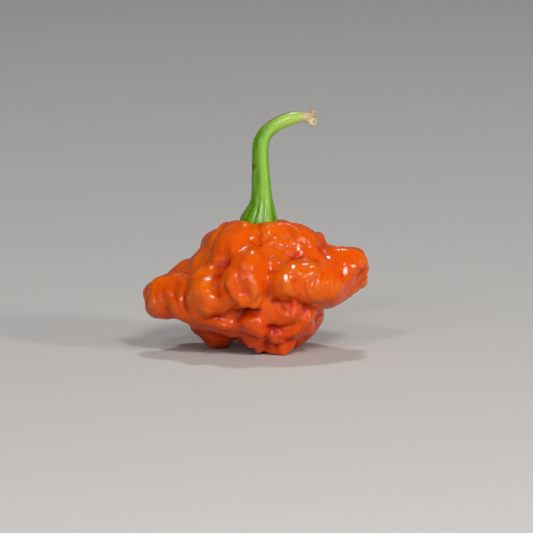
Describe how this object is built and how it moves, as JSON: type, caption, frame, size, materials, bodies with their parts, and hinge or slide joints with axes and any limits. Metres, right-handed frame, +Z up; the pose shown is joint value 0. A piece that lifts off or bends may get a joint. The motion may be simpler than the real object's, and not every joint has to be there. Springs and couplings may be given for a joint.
{
  "type": "chilli pepper",
  "caption": "Ripe orange bonnet chilli pepper with a squat, deeply folded, glossy fruit and a green hooked stalk that flares into a fluted cap.",
  "frame": {"origin": "centre of the base, on the surface that the fruit stands on", "axes": "+Z up along the stalk, +X to the right towards the side that the stalk hooks over to, +Y away from the side seen first"},
  "size_m": [0.0564, 0.041, 0.0598],
  "materials": {
    "ripe_flesh": "taut waxy skin, glossy orange that is redder in the creases, stands in for chilli flesh",
    "green_stalk": "satin green with long pale streaks and a dry tan end, stands in for a fresh stalk"
  },
  "bodies": {
    "root": {"fruit": "ripe_flesh", "stalk_and_cap": "green_stalk"}
  },
  "joints": []
}
